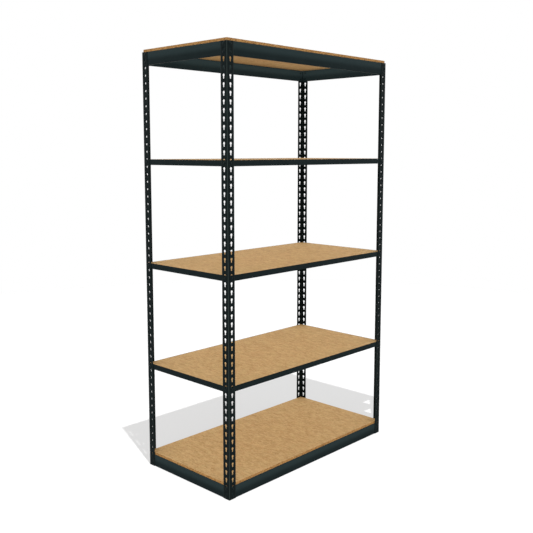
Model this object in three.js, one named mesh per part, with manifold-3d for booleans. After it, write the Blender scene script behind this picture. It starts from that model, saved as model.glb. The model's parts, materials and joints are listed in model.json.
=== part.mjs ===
// Boltless rivet shelving: four slotted angle posts, five levels of steel beams that hook into
// the posts by headed rivets, and five particleboard decks.
// Units are millimetres. The origin is on the floor at the middle of the footprint, +Z is up,
// +X runs along the long side and the front faces -Y.

import * as THREE from 'three';
import { mergeVertices } from 'three/addons/utils/BufferGeometryUtils.js';
import Module from 'manifold-3d';

const wasm = await Module();
wasm.setup();

// ---- driving dimensions ----
const WIDTH = 1232;                    // over the posts, along X
const DEPTH = 620;                     // over the posts, along Y
const PITCH = 38.1;                    // keyhole pitch up the posts
const EDGE_MARGIN = 12.7;              // top rivet centre to its beam's top edge, and first seat to the floor
const POST_PITCHES = 56;
const POST_HEIGHT = 2 * EDGE_MARGIN + POST_PITCHES * PITCH;
const GAP = 0.3;                       // clearance kept between separate pieces

const POST_LEG = 42;
const POST_WALL = 1.9;
const SLOT_FROM_CORNER = 22.6;         // outer corner of a post to its keyhole columns

const SLOT_LIFT = 12.7;                // from the seat up to the middle of the head hole
const NECK_HALF = 3.7;
const HEAD_HALF = 6.5;

const RIVET_HEAD_RADIUS = 5.6;
const RIVET_HEAD_THICK = 2.0;
const SHANK_RADIUS = 3.0;
const TAIL_RADIUS = 4.6;
const TAIL_THICK = 0.6;
const RIVET_SIDES = 6;
const RIVET_HOLE_RADIUS = SHANK_RADIUS + 0.5;

const BEAM_WALL = 1.6;
const BEAM_END = 5;                    // outer corner of a post to the end of a beam's web
const TALL_COPE = 15;                  // outer corner of a post to the end of a tall beam's flanges
const LOW_COPE = 30;                   // outer corner of a post to the end of a low beam's ledge
const TALL_BEAM = PITCH + 2 * EDGE_MARGIN;
const TALL_FLANGE = 12;                // reach of a tall beam's top and bottom flanges
const LOW_BEAM = 28.6;
const DECK_LEDGE = 24;                 // reach of a low beam's ledge

const DECK_THICK = 12.7;
const DECK_INSET = 5;                  // outer face of a post to the edge of a deck

// Height of each level's top row of rivets, in pitches above the first keyhole's seat.
const LEVELS = [
  { name: 'bottom', pitches: 1, tall: true },
  { name: 'second', pitches: 14, tall: false },
  { name: 'third', pitches: 28, tall: false },
  { name: 'fourth', pitches: 42, tall: false },
  { name: 'top', pitches: 56, tall: true },
];

// ---- materials ----
const powderCoat = { color: 0x2c3435, roughness: 0.55, metalness: 0.35 };
const rivetCoat = { color: 0x31393a, roughness: 0.45, metalness: 0.5 };
const particleboard = { color: 0xbf9a6c, roughness: 0.82, metalness: 0 };

function finish(look) {
  return new THREE.MeshStandardMaterial(look);
}

// ---- solids ----
function toManifold(geometry) {
  const plain = geometry.clone();
  plain.deleteAttribute('normal');
  plain.deleteAttribute('uv');
  const merged = mergeVertices(plain, 1e-4);
  const index = merged.index.array;
  return new wasm.Manifold(new wasm.Mesh({
    numProp: 3,
    vertProperties: new Float32Array(merged.attributes.position.array),
    triVerts: new Uint32Array(index),
  }));
}

function toGeometry(solid) {
  const mesh = solid.getMesh();
  const geometry = new THREE.BufferGeometry();
  geometry.setAttribute('position', new THREE.BufferAttribute(mesh.vertProperties, 3));
  geometry.setIndex(new THREE.BufferAttribute(mesh.triVerts, 1));
  geometry.computeVertexNormals();
  return geometry;
}

function joined(solids) {
  return solids.reduce((whole, solid) => whole.add(solid));
}

// A box given by its two extreme corners.
function block(low, high) {
  const size = high.map((value, axis) => value - low[axis]);
  const geometry = new THREE.BoxGeometry(...size);
  geometry.translate(...low.map((value, axis) => value + size[axis] / 2));
  return geometry;
}

// A prism along Y from yStart to yEnd, with an outline given as [x, z] points.
function prismAlongY(outline, yStart, yEnd) {
  const shape = new THREE.Shape(outline.map(([x, z]) => new THREE.Vector2(x, z)));
  const geometry = new THREE.ExtrudeGeometry(shape, { depth: yEnd - yStart, bevelEnabled: false });
  geometry.rotateX(Math.PI / 2);
  geometry.translate(0, yEnd, 0);
  return geometry;
}

// ---- posts ----
// Right half of a keyhole's outline from its seat up: a straight neck, then the head hole's arc.
const NECK_TOP = SLOT_LIFT - Math.sqrt(HEAD_HALF ** 2 - NECK_HALF ** 2);
const KEYHOLE_HALF = [
  [NECK_HALF, -NECK_HALF],
  [NECK_HALF, NECK_TOP],
  [HEAD_HALF, SLOT_LIFT],
  [HEAD_HALF * Math.cos(1), SLOT_LIFT + HEAD_HALF * Math.sin(1)],
];

function keyholeCutter(seat) {
  const right = KEYHOLE_HALF.map(([x, z]) => [SLOT_FROM_CORNER + x, seat + z]);
  const left = KEYHOLE_HALF.map(([x, z]) => [SLOT_FROM_CORNER - x, seat + z]).reverse();
  return toManifold(prismAlongY([...right, ...left], -1, POST_WALL + 1));
}

// A post with its outer corner on the Z axis and its legs along +X and +Y.
function makePost() {
  const legs = toManifold(block([0, 0, 0], [POST_LEG, POST_WALL, POST_HEIGHT]))
    .add(toManifold(block([0, 0, 0], [POST_WALL, POST_LEG, POST_HEIGHT])));
  const slots = [];
  for (let step = 0; step <= POST_PITCHES; step += 1) {
    const cutter = keyholeCutter(EDGE_MARGIN + step * PITCH);
    slots.push(cutter);
    slots.push(cutter.mirror([1, -1, 0]));
  }
  return legs.subtract(joined(slots));
}

// ---- beams and rivets ----
// Beams and rivets are made for the side whose post faces lie at y = 0 and look toward -Y.
const WEB_OUTER = POST_WALL + GAP;
const WEB_INNER = WEB_OUTER + BEAM_WALL;

function disc(radius, yStart, yEnd, x, z) {
  const geometry = new THREE.CylinderGeometry(radius, radius, yEnd - yStart, RIVET_SIDES);
  geometry.rotateY(Math.PI / RIVET_SIDES);
  geometry.translate(x, (yStart + yEnd) / 2, z);
  return geometry;
}

function rivetHead(x, z) {
  return toManifold(disc(RIVET_HEAD_RADIUS, -GAP - RIVET_HEAD_THICK, -GAP, x, z));
}

// A loose rivet: head outside the post, shank through post and web, tail flattened inside.
function makeRivet() {
  const tailStart = WEB_INNER + GAP;
  return joined([
    rivetHead(0, 0),
    toManifold(disc(SHANK_RADIUS, -GAP - 0.5, tailStart + 0.2, 0, 0)),
    toManifold(disc(TAIL_RADIUS, tailStart, tailStart + TAIL_THICK, 0, 0)),
  ]);
}

function rivetPlaces(length) {
  const offset = length / 2 - SLOT_FROM_CORNER;
  return [-offset, offset];
}

// A tall beam: a channel whose top flange carries the deck, with two rivets staked in each end.
function makeTallBeam(length) {
  const webHalf = length / 2 - BEAM_END;
  const flangeHalf = length / 2 - TALL_COPE;
  const flangeSide = WEB_OUTER + TALL_FLANGE;
  const pieces = [
    toManifold(block([-webHalf, WEB_OUTER, -TALL_BEAM], [webHalf, WEB_INNER, 0])),
    toManifold(block([-flangeHalf, WEB_OUTER, -BEAM_WALL], [flangeHalf, flangeSide, 0])),
    toManifold(block([-flangeHalf, WEB_OUTER, -TALL_BEAM], [flangeHalf, flangeSide, BEAM_WALL - TALL_BEAM])),
  ];
  for (const x of rivetPlaces(length)) {
    for (const z of [-EDGE_MARGIN, -EDGE_MARGIN - PITCH]) {
      pieces.push(rivetHead(x, z));
      pieces.push(toManifold(disc(SHANK_RADIUS, -GAP - 0.5, WEB_OUTER + 0.5, x, z)));
    }
  }
  return joined(pieces);
}

// A low beam: a web with an inner ledge one board thickness down, and a rivet hole in each end.
function makeLowBeam(length) {
  const webHalf = length / 2 - BEAM_END;
  const ledgeHalf = length / 2 - LOW_COPE;
  const ledgeTop = -DECK_THICK - GAP;
  const beam = joined([
    toManifold(block([-webHalf, WEB_OUTER, -LOW_BEAM], [webHalf, WEB_INNER, 0])),
    toManifold(block([-ledgeHalf, WEB_OUTER, ledgeTop - BEAM_WALL], [ledgeHalf, WEB_OUTER + DECK_LEDGE, ledgeTop])),
  ]);
  const holes = rivetPlaces(length).map(
    (x) => toManifold(disc(RIVET_HOLE_RADIUS, WEB_OUTER - 1, WEB_INNER + 1, x, -EDGE_MARGIN)),
  );
  return beam.subtract(joined(holes));
}

// ---- assembly ----
const group = new THREE.Group();

function place(name, geometry, look, position, quarterTurns = 0) {
  const mesh = new THREE.Mesh(geometry, finish(look));
  mesh.name = name;
  mesh.position.set(...position);
  mesh.rotation.z = quarterTurns * Math.PI / 2;
  group.add(mesh);
}

// Each side of the rectangle, with the turn that brings the -Y side onto it.
const SIDES = [
  { name: 'front', turns: 0, length: WIDTH, across: DEPTH },
  { name: 'right', turns: 1, length: DEPTH, across: WIDTH },
  { name: 'back', turns: 2, length: WIDTH, across: DEPTH },
  { name: 'left', turns: 3, length: DEPTH, across: WIDTH },
];

// The point that lies `along` the side and on its outer face, after the side's turn.
function onSide(side, along, height) {
  const flat = new THREE.Vector3(along, -side.across / 2, height);
  flat.applyAxisAngle(new THREE.Vector3(0, 0, 1), side.turns * Math.PI / 2);
  return [flat.x, flat.y, flat.z];
}

const postGeometry = toGeometry(makePost());
const POSTS = [
  ['post_front_left', -1, -1, 0],
  ['post_front_right', 1, -1, 1],
  ['post_back_right', 1, 1, 2],
  ['post_back_left', -1, 1, 3],
];
for (const [name, signX, signY, turns] of POSTS) {
  place(name, postGeometry, powderCoat, [signX * WIDTH / 2, signY * DEPTH / 2, 0], turns);
}

const rivetGeometry = toGeometry(makeRivet());
const beamGeometry = new Map();
for (const length of [WIDTH, DEPTH]) {
  beamGeometry.set(`tall ${length}`, toGeometry(makeTallBeam(length)));
  beamGeometry.set(`low ${length}`, toGeometry(makeLowBeam(length)));
}

const deckHalf = [WIDTH / 2 - DECK_INSET, DEPTH / 2 - DECK_INSET];
const deckGeometry = block([-deckHalf[0], -deckHalf[1], 0], [deckHalf[0], deckHalf[1], DECK_THICK]);

for (const level of LEVELS) {
  const top = level.pitches * PITCH + 2 * EDGE_MARGIN;
  const kind = level.tall ? 'tall' : 'low';
  for (const side of SIDES) {
    const geometry = beamGeometry.get(`${kind} ${side.length}`);
    place(`${level.name}_beam_${side.name}`, geometry, powderCoat, onSide(side, 0, top), side.turns);
    if (!level.tall) {
      const ends = rivetPlaces(side.length);
      ends.forEach((along, end) => {
        const name = `${level.name}_rivet_${side.name}_${end + 1}`;
        place(name, rivetGeometry, rivetCoat, onSide(side, along, top - EDGE_MARGIN), side.turns);
      });
    }
  }
  const deckBottom = level.tall ? top + GAP : top - DECK_THICK;
  place(`${level.name}_deck`, deckGeometry, particleboard, [0, 0, deckBottom]);
}

export default group;
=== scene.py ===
"""Boltless rivet shelving: the visible meshes, materials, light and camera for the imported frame.

Metres, +Z up, origin on the floor under the middle of the unit, +X along the long side, -Y the front.
Posts and beams are made as folded sheets: a surface halfway through the steel, thickened by Solidify
and softened by Bevel, then settled into a plain mesh. Rivets are turned from a half outline.
"""

import json
import math
import random

import bmesh
import bpy
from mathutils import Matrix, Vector

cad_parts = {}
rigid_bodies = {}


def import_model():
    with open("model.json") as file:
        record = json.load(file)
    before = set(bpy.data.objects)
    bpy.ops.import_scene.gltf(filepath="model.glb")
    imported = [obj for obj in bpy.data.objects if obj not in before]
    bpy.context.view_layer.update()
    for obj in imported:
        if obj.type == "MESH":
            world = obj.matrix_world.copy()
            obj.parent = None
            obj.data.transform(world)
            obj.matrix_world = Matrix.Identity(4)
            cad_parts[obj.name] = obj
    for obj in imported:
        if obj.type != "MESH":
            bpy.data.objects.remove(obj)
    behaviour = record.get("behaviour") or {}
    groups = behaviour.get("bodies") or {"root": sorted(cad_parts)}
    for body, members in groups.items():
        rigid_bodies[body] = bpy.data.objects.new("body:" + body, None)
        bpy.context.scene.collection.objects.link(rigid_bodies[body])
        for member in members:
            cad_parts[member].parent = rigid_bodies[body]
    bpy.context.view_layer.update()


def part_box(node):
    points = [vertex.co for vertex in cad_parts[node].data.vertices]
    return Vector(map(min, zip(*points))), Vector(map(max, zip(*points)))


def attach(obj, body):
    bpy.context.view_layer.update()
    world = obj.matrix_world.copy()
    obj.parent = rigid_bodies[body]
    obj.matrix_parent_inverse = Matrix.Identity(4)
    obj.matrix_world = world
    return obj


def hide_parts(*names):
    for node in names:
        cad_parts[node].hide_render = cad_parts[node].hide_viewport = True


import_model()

MM = 0.001

# ---- sizes read from the frame ----
POST_LOW, POST_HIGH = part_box("post_front_left")
HALF_WIDTH = -POST_LOW.x
HALF_DEPTH = -POST_LOW.y
POST_HEIGHT = POST_HIGH.z
POST_LEG = POST_HIGH.x - POST_LOW.x

# ---- driving dimensions ----
PITCH = 38.1 * MM                     # between keyholes
EDGE_MARGIN = 12.7 * MM               # top rivet centre to its beam's top edge
POST_WALL = 1.9 * MM
GAP = 0.3 * MM                        # clearance between pieces that touch
SLOT_FROM_CORNER = 22.6 * MM          # outer corner of a post to its keyhole columns
NECK_RADIUS = 3.7 * MM
HEAD_RADIUS = 6.5 * MM
SLOT_LIFT = 12.7 * MM                 # seat to the middle of the head hole
POST_BEND = 2.2 * MM                  # bend radius at the middle of the steel

BEAM_WALL = 1.6 * MM
BEAM_BEND = 1.4 * MM
BEAM_END = 5 * MM                     # outer corner of a post to a beam's end
TALL_COPE = 15 * MM                   # outer corner of a post to the end of a tall beam's flanges
LOW_COPE = 30 * MM                    # outer corner of a post to the end of a low beam's ledge
TALL_BEAM = PITCH + 2 * EDGE_MARGIN
TALL_FLANGE = 12 * MM
LOW_BEAM = 28.6 * MM
DECK_LEDGE = 24 * MM                  # reach of a low beam's ledge
WEB_OUTER = POST_WALL + GAP           # outer face of a post to the outer face of a beam

RIVET_HEAD_RADIUS = 5.6 * MM
RIVET_HEAD_HEIGHT = 2.0 * MM
SHANK_RADIUS = 3.0 * MM
TAIL_RADIUS = 4.6 * MM
TAIL_HEIGHT = 0.6 * MM

SOFT_EDGE = 0.28 * MM                 # rounding that the coat leaves on cut steel
WELD = 0.01 * MM                      # points closer than this become one

POSTS = ("post_front_left", "post_front_right", "post_back_right", "post_back_left")
LEVELS = ("bottom", "second", "third", "fourth", "top")
TALL_LEVELS = ("bottom", "top")


class Side:
    """One face of the unit, with the directions along it and into the unit."""

    def __init__(self, name, quarter_turns, half_length, half_across):
        turn = quarter_turns * math.pi / 2
        self.name = name
        self.along = Vector((round(math.cos(turn)), round(math.sin(turn)), 0))
        self.inward = Vector((-self.along.y, self.along.x, 0))
        self.half_length = half_length
        self.half_across = half_across

    def at(self, along, inward, height):
        """A point given by its distances along from the side's middle and in from its outer face."""
        return self.along * along + self.inward * (inward - self.half_across) + Vector((0, 0, height))


SIDES = (
    Side("front", 0, HALF_WIDTH, HALF_DEPTH),
    Side("right", 1, HALF_DEPTH, HALF_WIDTH),
    Side("back", 2, HALF_WIDTH, HALF_DEPTH),
    Side("left", 3, HALF_DEPTH, HALF_WIDTH),
)


# ---- meshes ----
def arc(centre, radius, start, end, steps):
    """Points of an arc from start to end, in degrees, both ends included."""
    angles = [math.radians(start + (end - start) * i / steps) for i in range(steps + 1)]
    return [(centre[0] + radius * math.cos(a), centre[1] + radius * math.sin(a)) for a in angles]


def new_object(name, mesh, material):
    obj = bpy.data.objects.new(name, mesh)
    bpy.context.scene.collection.objects.link(obj)
    obj.data.materials.append(material)
    return obj


def mesh_from(bm, name):
    """A mesh with its seams welded and its faces all turned the same way."""
    bmesh.ops.remove_doubles(bm, verts=bm.verts, dist=WELD)
    bmesh.ops.recalc_face_normals(bm, faces=bm.faces)
    mesh = bpy.data.meshes.new(name)
    bm.to_mesh(mesh)
    bm.free()
    return mesh


def settle(obj, sharp_degrees=38):
    """Turns the object's modifiers into plain mesh and shades it smooth up to an angle."""
    graph = bpy.context.evaluated_depsgraph_get()
    mesh = bpy.data.meshes.new_from_object(obj.evaluated_get(graph), depsgraph=graph)
    mesh.name = obj.name
    obj.modifiers.clear()
    obj.data = mesh
    mesh.shade_smooth()
    mesh.set_sharp_from_angle(angle=math.radians(sharp_degrees))


def fold_steel(obj, thickness):
    """Gives a mid-surface its thickness and the soft edges of coated steel."""
    solid = obj.modifiers.new("thickness", "SOLIDIFY")
    solid.thickness = thickness
    solid.offset = 0
    solid.use_even_offset = True
    soft = obj.modifiers.new("soft_edges", "BEVEL")
    soft.width = SOFT_EDGE
    soft.segments = 2
    soft.limit_method = "ANGLE"
    soft.angle_limit = math.radians(50)
    settle(obj)


def grid_faces(bm, rows):
    """Quads between neighbouring rows of points, each row as long as the next."""
    made = [[bm.verts.new(point) for point in row] for row in rows]
    for lower, upper in zip(made, made[1:]):
        for i in range(len(lower) - 1):
            bm.faces.new((lower[i], lower[i + 1], upper[i + 1], upper[i]))


# ---- posts ----
CELL_HALF = 10 * MM                   # half width of the strip that holds the keyholes
CORNER_STEPS = 4                      # from a keyhole's middle line to its cell's corner
CUT_MARGIN = 0.2 * MM                 # a cut drops the points that are closer to it than this


def keyhole_half():
    """Right half of a keyhole from its lowest to its highest point, measured from its seat."""
    neck_top = SLOT_LIFT - math.sqrt(HEAD_RADIUS**2 - NECK_RADIUS**2)
    bottom = arc((0, 0), NECK_RADIUS, -90, 0, CORNER_STEPS)
    shoulder = [(NECK_RADIUS, neck_top)]
    head_side = arc((0, SLOT_LIFT), HEAD_RADIUS, -24, 12, 1)
    head_top = arc((0, SLOT_LIFT), HEAD_RADIUS, 45, 90, CORNER_STEPS)
    return bottom + shoulder + head_side + head_top


KEYHOLE_HALF = keyhole_half()
KEYHOLE_MIDDLE = (SLOT_LIFT + HEAD_RADIUS - NECK_RADIUS) / 2
CELL_LOW = KEYHOLE_MIDDLE - PITCH / 2
# Heights of the points up a cell's side, which the plain strips beside it share.
SIDE_HEIGHTS = [CELL_LOW + PITCH * share for share in (0, 0.28, 0.47, 0.68)]


def cell_half():
    """The points on the right half of a cell's edge, one for each point of KEYHOLE_HALF."""
    widths = [CELL_HALF * i / CORNER_STEPS for i in range(CORNER_STEPS + 1)]
    low = [(width, CELL_LOW) for width in widths]
    side = [(CELL_HALF, height) for height in SIDE_HEIGHTS[1:]]
    high = [(width, CELL_LOW + PITCH) for width in reversed(widths)]
    return low + side + high


def cut_at(half, height):
    """The lower part of a half outline, ended at a height."""
    kept = [point for point in half if point[1] < height - CUT_MARGIN]
    x, z = kept[-1]
    next_x, next_z = half[len(kept)]
    share = (height - z) / (next_z - z)
    return kept + [(x + (next_x - x) * share, height)]


def add_keyhole_cell(bm, seat, to_space):
    """A cell of the post's sheet with its keyhole; the last one is cut open by the post's end."""
    inner, outer = KEYHOLE_HALF, cell_half()
    room = POST_HEIGHT - seat
    if room <= CELL_LOW + PITCH:
        seat_and_neck = KEYHOLE_HALF[: CORNER_STEPS + 3]
        inner = cut_at(seat_and_neck + [(HEAD_RADIUS, SLOT_LIFT)], room)
        outer = outer[: len(inner) - 1] + [(CELL_HALF, room)]
    for sign in (1, -1):
        rows = [[to_space(sign * x, seat + z) for x, z in half] for half in (outer, inner)]
        grid_faces(bm, rows)


def build_post(name, material):
    """An angle post: on each leg two plain strips and the strip of keyholes, joined by the bend."""
    low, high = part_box(name)
    corner = Vector((low.x if low.x < 0 else high.x, low.y if low.y < 0 else high.y, 0))
    legs = (Vector((-math.copysign(1, corner.x), 0, 0)), Vector((0, -math.copysign(1, corner.y), 0)))
    middle = POST_WALL / 2

    seats = []
    while EDGE_MARGIN + len(seats) * PITCH < POST_HEIGHT - NECK_RADIUS:
        seats.append(EDGE_MARGIN + len(seats) * PITCH)
    heights = sorted({round(seat + z, 7) for seat in seats for z in SIDE_HEIGHTS})
    heights = [0] + [z for z in heights if 0 < z < POST_HEIGHT - CUT_MARGIN] + [POST_HEIGHT]

    bm = bmesh.new()
    for leg, other in (legs, legs[::-1]):
        def place(from_corner, height):
            return corner + leg * from_corner + other * middle + Vector((0, 0, height))

        inner_edge = SLOT_FROM_CORNER - CELL_HALF
        outer_edge = SLOT_FROM_CORNER + CELL_HALF
        for strip in ((middle + POST_BEND, inner_edge), (outer_edge, POST_LEG)):
            grid_faces(bm, [[place(across, z) for across in strip] for z in heights])
        for seat in seats:
            add_keyhole_cell(bm, seat, lambda x, z: place(SLOT_FROM_CORNER + x, z))
        widths = [CELL_HALF * i / CORNER_STEPS for i in range(-CORNER_STEPS, CORNER_STEPS + 1)]
        first_cell = seats[0] + CELL_LOW
        grid_faces(bm, [[place(SLOT_FROM_CORNER + x, z) for x in widths] for z in (0, first_cell)])

    bend = arc((0, 0), POST_BEND, 180, 270, 4)
    reach = middle + POST_BEND
    columns = [corner + legs[0] * (reach + x) + legs[1] * (reach + y) for x, y in bend]
    grid_faces(bm, [[column + Vector((0, 0, z)) for column in columns] for z in heights])

    post = new_object(name.replace("post", "slotted_post"), mesh_from(bm, name), material)
    fold_steel(post, POST_WALL)
    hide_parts(name)
    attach(post, "posts")


# ---- beams ----
WEB_STEPS = 6                         # up the flat of a tall beam's web
LENGTH_STEPS = 8                      # along a beam between its coped ends
HEM_GAP = 0.1 * MM                    # between a low beam's web and its hem


def tall_section():
    """Middle lines of a tall beam as (inward, height above its top edge).

    The first is folded, with flanges. The second is the coped end, where only the web runs on.
    """
    half = BEAM_WALL / 2
    web = WEB_OUTER + half
    low = -TALL_BEAM + half
    top_bend = arc((web + BEAM_BEND, -half - BEAM_BEND), BEAM_BEND, 90, 180, 4)
    low_bend = arc((web + BEAM_BEND, low + BEAM_BEND), BEAM_BEND, 180, 270, 4)
    flat = TALL_BEAM - 2 * half - 2 * BEAM_BEND
    web_line = [(web, -half - BEAM_BEND - flat * i / WEB_STEPS) for i in range(1, WEB_STEPS)]
    reach = WEB_OUTER + TALL_FLANGE
    line = [(reach, -half)] + top_bend + web_line + low_bend + [(reach, low)]
    return line, [(web, 0)] + top_bend[-1:] + web_line + low_bend[:1] + [(web, -TALL_BEAM)]


def low_section(board):
    """Middle lines of a low beam, folded and coped, as tall_section gives them.

    The fold is the web, a hem turned up behind it and the ledge that holds the board.
    """
    half = BEAM_WALL / 2
    web = WEB_OUTER + half
    hem_radius = half + HEM_GAP / 2
    low = -LOW_BEAM + half + hem_radius
    ledge = -board - GAP - half
    hem = arc((web + hem_radius, low), hem_radius, 180, 360, 6)
    ledge_bend = arc((web + 2 * hem_radius + BEAM_BEND, ledge - BEAM_BEND), BEAM_BEND, 180, 90, 4)
    return [(web, 0)] + hem + ledge_bend + [(WEB_OUTER + DECK_LEDGE, ledge)], [(web, 0), (web, low)]


def build_beam(level, side, top, folded, coped, material):
    """A beam of the folded section between its coped ends; its origin is at its top edge."""
    node = f"{level}_beam_{side.name}"
    web_half = side.half_length - BEAM_END
    fold_half = side.half_length - (TALL_COPE if level in TALL_LEVELS else LOW_COPE)
    bm = bmesh.new()
    spans = [fold_half * (2 * i / LENGTH_STEPS - 1) for i in range(LENGTH_STEPS + 1)]
    grid_faces(bm, [[side.at(x, inward, z) for x in spans] for inward, z in folded])
    for span in ((-web_half, -fold_half), (fold_half, web_half)):
        grid_faces(bm, [[side.at(x, inward, z) for x in span] for inward, z in coped])
    beam = new_object(f"{level}_steel_beam_{side.name}", mesh_from(bm, node), material)
    fold_steel(beam, BEAM_WALL)
    beam.location.z = top
    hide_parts(node)
    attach(beam, f"{level}_level")


# ---- rivets ----
AROUND_RIVET = 24
DOME_STEPS = 7
DOME_SHARE = 0.72                     # of the head's height that is domed
RIM_EDGE = 0.15 * MM                  # bevel under the head's rim


def rivet_profile():
    """Half outline of a rivet as (radius, inward): domed head, shank, and tail spread inside."""
    dome_rise = RIVET_HEAD_HEIGHT * DOME_SHARE
    dome = [
        (RIVET_HEAD_RADIUS * math.sin(a), -GAP - RIVET_HEAD_HEIGHT + dome_rise * (1 - math.cos(a)))
        for a in (math.radians(90 * i / DOME_STEPS) for i in range(DOME_STEPS + 1))
    ]
    tail_start = WEB_OUTER + BEAM_WALL + GAP
    tail_end = tail_start + TAIL_HEIGHT
    return dome + [
        (RIVET_HEAD_RADIUS, -GAP - RIM_EDGE),
        (RIVET_HEAD_RADIUS - RIM_EDGE, -GAP),
        (SHANK_RADIUS, -GAP),
        (SHANK_RADIUS, tail_start),
        (TAIL_RADIUS, tail_start),
        (TAIL_RADIUS, tail_end - 0.2 * MM),
        (TAIL_RADIUS - 0.3 * MM, tail_end),
        (0, tail_end - 0.1 * MM),
    ]


def build_rivet(level, side, end, row, height, material):
    """One rivet; end is -1 at the start of its side and 1 at the end, and row counts from the top."""
    along = end * (side.half_length - SLOT_FROM_CORNER)
    circle = [2 * math.pi * i / AROUND_RIVET for i in range(AROUND_RIVET + 1)]
    bm = bmesh.new()
    grid_faces(bm, [
        [side.at(along + radius * math.cos(a), inward, height + radius * math.sin(a)) for a in circle]
        for radius, inward in rivet_profile()
    ])
    bmesh.ops.remove_doubles(bm, verts=bm.verts, dist=WELD)
    bmesh.ops.dissolve_degenerate(bm, edges=bm.edges, dist=0.1 * WELD)
    place, number = ("start", 1) if end < 0 else ("end", 2)
    name = f"{level}_rivet_{side.name}_{place}_{row}"
    rivet = new_object(name, mesh_from(bm, name), material)
    settle(rivet, 40)
    if level not in TALL_LEVELS:
        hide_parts(f"{level}_rivet_{side.name}_{number}")
    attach(rivet, f"{level}_level")


# ---- decks ----
BOARD_CORNER = 1.5 * MM
BOARD_STEP = 6 * MM                   # between the points of a board's outline
LEAST_CRUMBLE = 0.2 * MM              # how far a board's sawn edges are broken back
MORE_CRUMBLE = 0.35 * MM


def points_between(first, last, step):
    """Points spaced evenly from first to last, both left out."""
    count = round(math.dist(first, last) / step)
    shares = [i / count for i in range(1, count)]
    return [tuple(a + (b - a) * share for a, b in zip(first, last)) for share in shares]


def board_outline(half_x, half_y):
    """Closed outline of a board with slightly rounded corners."""
    reach_x, reach_y = half_x - BOARD_CORNER, half_y - BOARD_CORNER
    bends = [
        arc((sign_x * reach_x, sign_y * reach_y), BOARD_CORNER, start, start + 90, 3)
        for sign_x, sign_y, start in ((1, 1, 0), (-1, 1, 90), (-1, -1, 180), (1, -1, 270))
    ]
    points = []
    for bend, next_bend in zip(bends, bends[1:] + bends[:1]):
        points += bend + points_between(bend[-1], next_bend[0], BOARD_STEP)
    return points


def build_deck(level, face_material, edge_material, seed):
    """A board with broken edges; a tall level's board lies right on its beams, without the CAD's gap."""
    node = f"{level}_deck"
    low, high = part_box(node)
    rng = random.Random(seed)
    bottom = low.z - (GAP if level in TALL_LEVELS else 0)
    outline = board_outline(high.x, high.y)
    bm = bmesh.new()

    def crumble():
        """How far the sawn edge of the board is broken back at each point."""
        return [LEAST_CRUMBLE + MORE_CRUMBLE * rng.random() ** 3 for _ in outline]

    def ring(insets, heights):
        """The outline drawn in by the insets, at the heights."""
        return [
            bm.verts.new((x * (high.x - inset) / high.x, y * (high.y - inset) / high.y, z))
            for (x, y), inset, z in zip(outline, insets, heights)
        ]

    upper, lower = crumble(), crumble()
    flush = [0.0] * len(outline)
    rings = [
        ring(upper, [high.z] * len(outline)),
        ring(flush, [high.z - broken for broken in upper]),
        ring(flush, [bottom + broken for broken in lower]),
        ring(lower, [bottom] * len(outline)),
    ]
    bm.faces.new(rings[0])
    bm.faces.new(rings[3][::-1])
    for first, second in zip(rings, rings[1:]):
        for i in range(len(first)):
            j = (i + 1) % len(first)
            face = bm.faces.new((first[i], first[j], second[j], second[i]))
            face.material_index = 1
    board = new_object(f"{level}_particleboard", mesh_from(bm, node), face_material)
    board.data.materials.append(edge_material)
    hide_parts(node)
    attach(board, f"{level}_deck_body")


# ---- materials ----
class Nodes:
    """A node tree, with short calls for adding and joining its nodes."""

    def __init__(self, tree):
        self.tree = tree

    def add(self, kind, inputs=(), **settings):
        """A new node, with its settings made and its inputs set or linked."""
        node = self.tree.nodes.new(kind)
        for key, value in settings.items():
            setattr(node, key, value)
        for socket, value in dict(inputs).items():
            self.feed(node.inputs[socket], value)
        return node

    def feed(self, socket, value):
        """Links a socket to another one, or sets its own value."""
        if isinstance(value, bpy.types.NodeSocket):
            self.tree.links.new(value, socket)
        else:
            socket.default_value = value

    def remap(self, value, old, new=(0, 1), smooth=False):
        """Turns the old range of a value into the new one, and holds it at the ends."""
        inputs = {"Value": value, "From Min": old[0], "From Max": old[1], "To Min": new[0], "To Max": new[1]}
        kind = "SMOOTHSTEP" if smooth else "LINEAR"
        return self.add("ShaderNodeMapRange", inputs, interpolation_type=kind).outputs["Result"]


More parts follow.
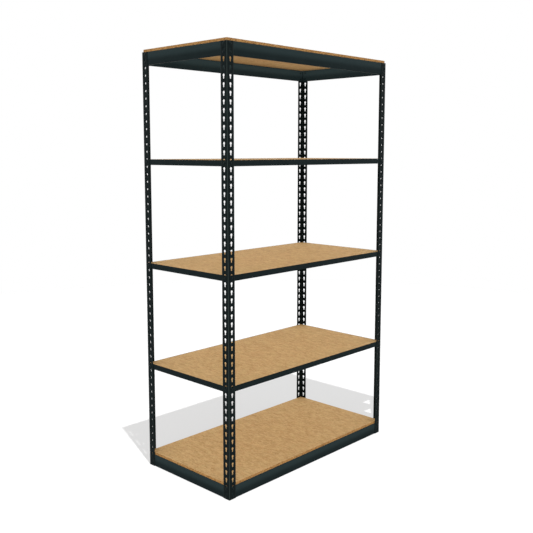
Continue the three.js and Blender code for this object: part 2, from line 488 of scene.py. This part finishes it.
class Paint(Nodes):
    """A material's node tree, with short calls for the patterns used here."""

    def __init__(self, name):
        self.material = bpy.data.materials.new(name)
        self.material.use_nodes = True
        super().__init__(self.material.node_tree)
        self.shader = self.tree.nodes["Principled BSDF"]
        coordinates = self.add("ShaderNodeTexCoord")
        self.place = coordinates.outputs["Object"]
        self.normal = coordinates.outputs["Normal"]

    def surface(self, **inputs):
        """Feeds the shader, each input under its name with _ for a space."""
        for name, value in inputs.items():
            self.feed(self.shader.inputs[name.replace("_", " ")], value)

    def stretched(self, scale, turn):
        """The place on the object, scaled and turned before a pattern reads it."""
        mapping = self.add("ShaderNodeMapping", {"Vector": self.place, "Scale": scale, "Rotation": turn})
        return mapping.outputs["Vector"]

    def noise(self, scale, detail, vector=None):
        inputs = {"Vector": vector or self.place, "Scale": scale, "Detail": detail, "Roughness": 0.5}
        return self.add("ShaderNodeTexNoise", inputs).outputs["Fac"]

    def chips(self, scale, vector):
        return self.add("ShaderNodeTexVoronoi", {"Vector": vector, "Scale": scale}, feature="F1")

    def ramp(self, value, stops):
        """The colour that a value has between stops of (position, colour)."""
        node = self.add("ShaderNodeValToRGB", {"Fac": value})
        elements = node.color_ramp.elements
        while len(elements) < len(stops):
            elements.new(0.5)
        for element, (position, colour) in zip(elements, stops):
            element.position = position
            element.color = colour
        return node.outputs["Color"]

    def mix(self, share, first, second):
        """The first colour at share 0, the second at share 1."""
        node = self.add("ShaderNodeMix", data_type="RGBA")
        for socket, value in ((0, share), (6, first), (7, second)):
            self.feed(node.inputs[socket], value)
        return node.outputs[2]

    def spread(self, value, low, high):
        """Turns a noise's usual range, a quarter to three quarters, into low to high."""
        return self.remap(value, (0.25, 0.75), (low, high))

    def bump(self, height, distance, below=None):
        inputs = {"Height": height, "Distance": distance, "Strength": 1}
        if below is not None:
            inputs["Normal"] = below
        return self.add("ShaderNodeBump", inputs).outputs["Normal"]


def grey(value):
    return (value, value, value, 1)


# painted sheen: between these heights a tall beam's colour grows paler towards its top
PAINTED_SHEEN_FADE = (-0.72 * TALL_BEAM, -0.26 * TALL_BEAM)  # heights between which a tall beam turns paler
# painted highlight: between these sizes a post's bend turns to the paler bend colour
BEND_TURN = (0.1, 0.45)               # size of a normal's X times Y: 0 on a leg, 0.5 in mid bend


def powder_coat(name, dark, light, specular, roughness=(0.42, 0.58), painted_top_sheen=None, painted_bend_highlight=None):
    """Satin powder coat: a faint mottle, an orange-peel skin and fine texture.

    The paler top colour is a painted sheen on the upper half of a tall beam, whose top edge is at its own
    origin.
    The bend colour is a painted highlight on a post's bend, where the surface faces halfway between X and Y.
    """
    n = Paint(name)
    colour = n.mix(n.spread(n.noise(9, 4), 0, 1), dark, light)
    # painted sheen: the upper half of a tall beam is coloured paler by its height
    if painted_top_sheen is not None:
        height = n.add("ShaderNodeSeparateXYZ", {"Vector": n.place}).outputs["Z"]
        colour = n.mix(n.remap(height, PAINTED_SHEEN_FADE, smooth=True), colour, painted_top_sheen)
    # painted highlight along a post's bend, found from the way its surface faces
    if painted_bend_highlight is not None:
        facing = n.add("ShaderNodeSeparateXYZ", {"Vector": n.normal})
        factors = {0: facing.outputs["X"], 1: facing.outputs["Y"]}
        product = n.add("ShaderNodeMath", factors, operation="MULTIPLY")
        size = n.add("ShaderNodeMath", {0: product.outputs[0]}, operation="ABSOLUTE")
        colour = n.mix(n.remap(size.outputs[0], BEND_TURN), colour, painted_bend_highlight)
    grain = n.noise(700, 2)
    peel = n.bump(n.noise(420, 2), 0.06 * MM)
    n.surface(
        Base_Color=n.mix(n.spread(grain, 0, 0.3), colour, light),
        Roughness=n.spread(n.noise(60, 3), *roughness),
        Specular_IOR_Level=specular,
        Normal=n.bump(grain, 0.03 * MM, below=peel),
    )
    return n.material


FLAKE_LAYERS = (                      # turn in radians, flakes per metre, strength
    (0.2, 120, 0.38),
    (1.25, 90, 0.31),
    (2.3, 210, 0.35),
    (0.8, 460, 0.34),
)


def board_face(name, base, pale, dark, clouded):
    """Sanded particleboard face: soft clouding, flakes lying every way, and dark specks."""
    n = Paint(name)
    colour = n.mix(n.spread(n.noise(26, 4), 0, 1), base, clouded)
    for turn, scale, share in FLAKE_LAYERS:  # the last and finest also gives the relief
        flakes = n.chips(scale, n.stretched((1, 0.34, 1), (0, 0, turn)))
        tone = n.add("ShaderNodeSeparateColor", {"Color": flakes.outputs["Color"]})
        bright = n.ramp(tone.outputs["Red"], ((0.60, grey(0)), (0.95, grey(share))))
        colour = n.mix(bright, colour, pale)
        specks = n.ramp(tone.outputs["Green"], ((0.70, grey(0)), (0.97, grey(share))))
        colour = n.mix(specks, colour, dark)
    n.surface(
        Base_Color=colour,
        Roughness=n.spread(n.noise(300, 2), 0.62, 0.85),
        Specular_IOR_Level=0.02,
        Normal=n.bump(tone.outputs["Blue"], 0.05 * MM),
    )
    return n.material


def board_edge(name, base, pale, dark):
    """Sawn particleboard edge: coarse chips lying flat, some pale and some dark, and small pits whose
    hollows carry painted shade.
    """
    n = Paint(name)
    flat = n.stretched((1, 1, 2.2), (0, 0, 0))
    chips = n.chips(190, flat)
    tone = n.add("ShaderNodeSeparateColor", {"Color": chips.outputs["Color"]})
    colour = n.mix(n.ramp(tone.outputs["Red"], ((0.35, grey(0)), (0.95, grey(1)))), base, pale)
    colour = n.mix(n.ramp(tone.outputs["Green"], ((0.66, grey(0)), (0.98, grey(0.9)))), colour, dark)
    # painted shade: the pits' hollows take the dark colour, and the bump sinks them in
    pits = n.ramp(n.noise(420, 3, flat), ((0.36, grey(0)), (0.5, grey(1))))
    rough = n.bump(tone.outputs["Blue"], 0.25 * MM)
    n.surface(
        Base_Color=n.mix(pits, dark, colour),
        Roughness=0.88,
        Specular_IOR_Level=0.06,
        Normal=n.bump(pits, 0.35 * MM, below=rough),
    )
    return n.material


# ---- the object ----
def build_shelving():
    """Every piece of the unit, with its materials."""
    dark = (0.0042, 0.0088, 0.0096, 1)
    light = (0.0062, 0.0118, 0.0126, 1)
    steel = powder_coat("powder_coat", dark, light, specular=0.035)
    rivet_coat = powder_coat("rivet_coat", dark, light, specular=0.05, roughness=(0.34, 0.5))
    post_steel = powder_coat(
        "powder_coat_post",
        dark=(0.0031, 0.0064, 0.0068, 1),
        light=(0.0046, 0.0086, 0.0090, 1),
        specular=0.035,
        # painted highlight along the bends of the posts
        painted_bend_highlight=(0.032, 0.043, 0.040, 1),
    )
    tall_steel = powder_coat(
        "powder_coat_tall_beam",
        dark=(0.0077, 0.0130, 0.0138, 1),
        light=(0.0102, 0.0165, 0.0173, 1),
        specular=0.012,
        # painted sheen on the upper half of the tall beams
        painted_top_sheen=(0.0205, 0.0326, 0.0342, 1),
    )
    face = board_face(
        "particleboard_face",
        base=(0.475, 0.315, 0.132, 1),
        pale=(0.64, 0.45, 0.225, 1),
        dark=(0.30, 0.165, 0.062, 1),
        clouded=(0.525, 0.315, 0.142, 1),
    )
    edge = board_edge(
        "particleboard_edge",
        base=(0.368, 0.190, 0.062, 1),
        pale=(0.53, 0.300, 0.115, 1),
        dark=(0.16, 0.071, 0.023, 1),
    )

    for name in POSTS:
        build_post(name, post_steel)

    for number, level in enumerate(LEVELS):
        tall = level in TALL_LEVELS
        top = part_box(f"{level}_beam_front")[1].z
        deck_low, deck_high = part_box(f"{level}_deck")
        folded, coped = tall_section() if tall else low_section(deck_high.z - deck_low.z)
        rivet_heights = [top - EDGE_MARGIN - row * PITCH for row in range(2 if tall else 1)]
        for side in SIDES:
            build_beam(level, side, top, folded, coped, tall_steel if tall else steel)
            for end in (-1, 1):
                for row, height in enumerate(rivet_heights, 1):
                    build_rivet(level, side, end, row, height, rivet_coat)
        build_deck(level, face, edge, seed=number)


# ---- surroundings ----
CAMERA_PLACE = (-2.963, -2.794, 1.663)
CAMERA_HEADING = 46.35                # degrees from +Y towards +X
CAMERA_DIP = 6.89                     # degrees below level
CAMERA_LENS = 50.47                   # mm on a 36 mm sensor
CAMERA_SHIFT = -0.0456                # a low-set lens: the unit stands a little high in the picture

HIGH_LAMP_PLACE = (-1.46, -1.9, 10.8)  # casts the soft shadow behind the unit, on the floor only
HIGH_LAMP_POWER = 73
HIGH_LAMP_RADIUS = 0.04
INNER_FILL_PLACE = (3.0, 3.1, 2.13)   # level with the top beams, whose inner faces it lights
INNER_FILL_POWER = 44
DECK_FILL_POWER = 4.2                 # lifts the lower decks, which see the least sky
FILL_RADIUS = 0.3
SKY_AT_HORIZON = 1.7
SKY_OVERHEAD = 0.5
SKY_DIMS_BETWEEN = (0.55, 0.85)       # sines of the heights where it turns from one to the other
SKY_BELOW = 0.748                     # under the horizon, past the floor's edge
HORIZON_BLEND = (-0.08, 0)            # sines of the heights between SKY_BELOW and the horizon's light
FLOOR_RADIUS = 5.5
FLOOR_DROP = 0.2 * MM                 # keeps the floor just under the feet
FLOOR_GLOW = 0.548                    # as the camera sees it
FLOOR_GLOW_UPWARD = 0.30              # as it lights the undersides


def add_camera():
    camera = bpy.data.objects.new("camera", bpy.data.cameras.new("camera"))
    bpy.context.scene.collection.objects.link(camera)
    camera.location = CAMERA_PLACE
    camera.rotation_euler = (math.radians(90 - CAMERA_DIP), 0, math.radians(-CAMERA_HEADING))
    camera.data.sensor_width = 36
    camera.data.lens = CAMERA_LENS
    camera.data.shift_y = CAMERA_SHIFT
    bpy.context.scene.camera = camera


def add_floor():
    """A pale disc that glows a little, so the light under the shelves stays even."""
    bm = bmesh.new()
    bmesh.ops.create_circle(bm, cap_ends=True, radius=FLOOR_RADIUS, segments=96)
    mesh = bpy.data.meshes.new("floor")
    bm.to_mesh(mesh)
    bm.free()
    paint = Paint("floor_paint")
    seen = paint.add("ShaderNodeLightPath").outputs["Is Camera Ray"]
    glow = paint.add("ShaderNodeMix", {0: seen, 2: FLOOR_GLOW_UPWARD, 3: FLOOR_GLOW})
    paint.surface(
        Base_Color=grey(0.2),
        Roughness=1,
        Specular_IOR_Level=0,
        Emission_Color=grey(1),
        Emission_Strength=glow.outputs[0],
    )
    floor = new_object("floor", mesh, paint.material)
    floor.location.z = -FLOOR_DROP
    return floor


def add_sky():
    """White where the camera sees it; as a light, brightest at the horizon and dimmer above and below."""
    world = bpy.data.worlds.new("studio")
    bpy.context.scene.world = world
    world.use_nodes = True
    n = Nodes(world.node_tree)
    direction = n.add("ShaderNodeTexCoord").outputs["Generated"]
    height = n.add("ShaderNodeSeparateXYZ", {"Vector": direction}).outputs["Z"]
    above = n.remap(height, SKY_DIMS_BETWEEN, (SKY_AT_HORIZON, SKY_OVERHEAD), smooth=True)
    below = n.remap(height, HORIZON_BLEND, (SKY_BELOW, SKY_AT_HORIZON))
    light = n.add("ShaderNodeMath", {0: above, 1: below}, operation="MINIMUM")
    seen = n.add("ShaderNodeLightPath").outputs["Is Camera Ray"]
    strength = n.add("ShaderNodeMix", {0: seen, 2: light.outputs[0], 3: 1})
    background = n.tree.nodes["Background"]
    n.feed(background.inputs["Strength"], strength.outputs[0])
    n.feed(background.inputs["Color"], grey(1))


def add_lamp(name, place, power, radius, lit):
    """A round lamp, as bright far away as near, that lights only the given objects."""
    lamp = bpy.data.objects.new(name, bpy.data.lights.new(name, "POINT"))
    bpy.context.scene.collection.objects.link(lamp)
    lamp.location = place
    lamp.data.energy = power
    lamp.data.shadow_soft_size = radius
    lamp.data.use_nodes = True
    n = Nodes(lamp.data.node_tree)
    falloff = n.add("ShaderNodeLightFalloff", {"Strength": 1})
    n.feed(n.tree.nodes["Emission"].inputs["Strength"], falloff.outputs["Constant"])
    receivers = bpy.data.collections.new(f"lit_by_{name}")
    for obj in lit:
        receivers.objects.link(obj)
    lamp.light_linking.receiver_collection = receivers
    return lamp


def add_fill(name, place, power, lit):
    """A lamp without shadows or gloss, which only brightens what it lights."""
    lamp = add_lamp(name, place, power, FILL_RADIUS, lit)
    lamp.data.use_shadow = False
    lamp.visible_glossy = False


def add_fills():
    """Fills for the lower decks, and from both ends for the inner faces of the top beams."""
    lower_decks = [bpy.data.objects[f"{level}_particleboard"] for level in LEVELS[:3]]
    add_fill("deck_fill", HIGH_LAMP_PLACE, DECK_FILL_POWER, lower_decks)
    x, y, z = INNER_FILL_PLACE
    for sign, sides in ((1, ("front", "left")), (-1, ("back", "right"))):
        facing = [bpy.data.objects[f"top_steel_beam_{side}"] for side in sides]
        add_fill(f"inner_fill_{sides[0]}", (sign * x, sign * y, z), INNER_FILL_POWER, facing)


add_camera()
add_sky()
floor = add_floor()
build_shelving()
add_lamp("high_lamp", HIGH_LAMP_PLACE, HIGH_LAMP_POWER, HIGH_LAMP_RADIUS, [floor])
add_fills()
bpy.context.scene.view_settings.view_transform = "Standard"
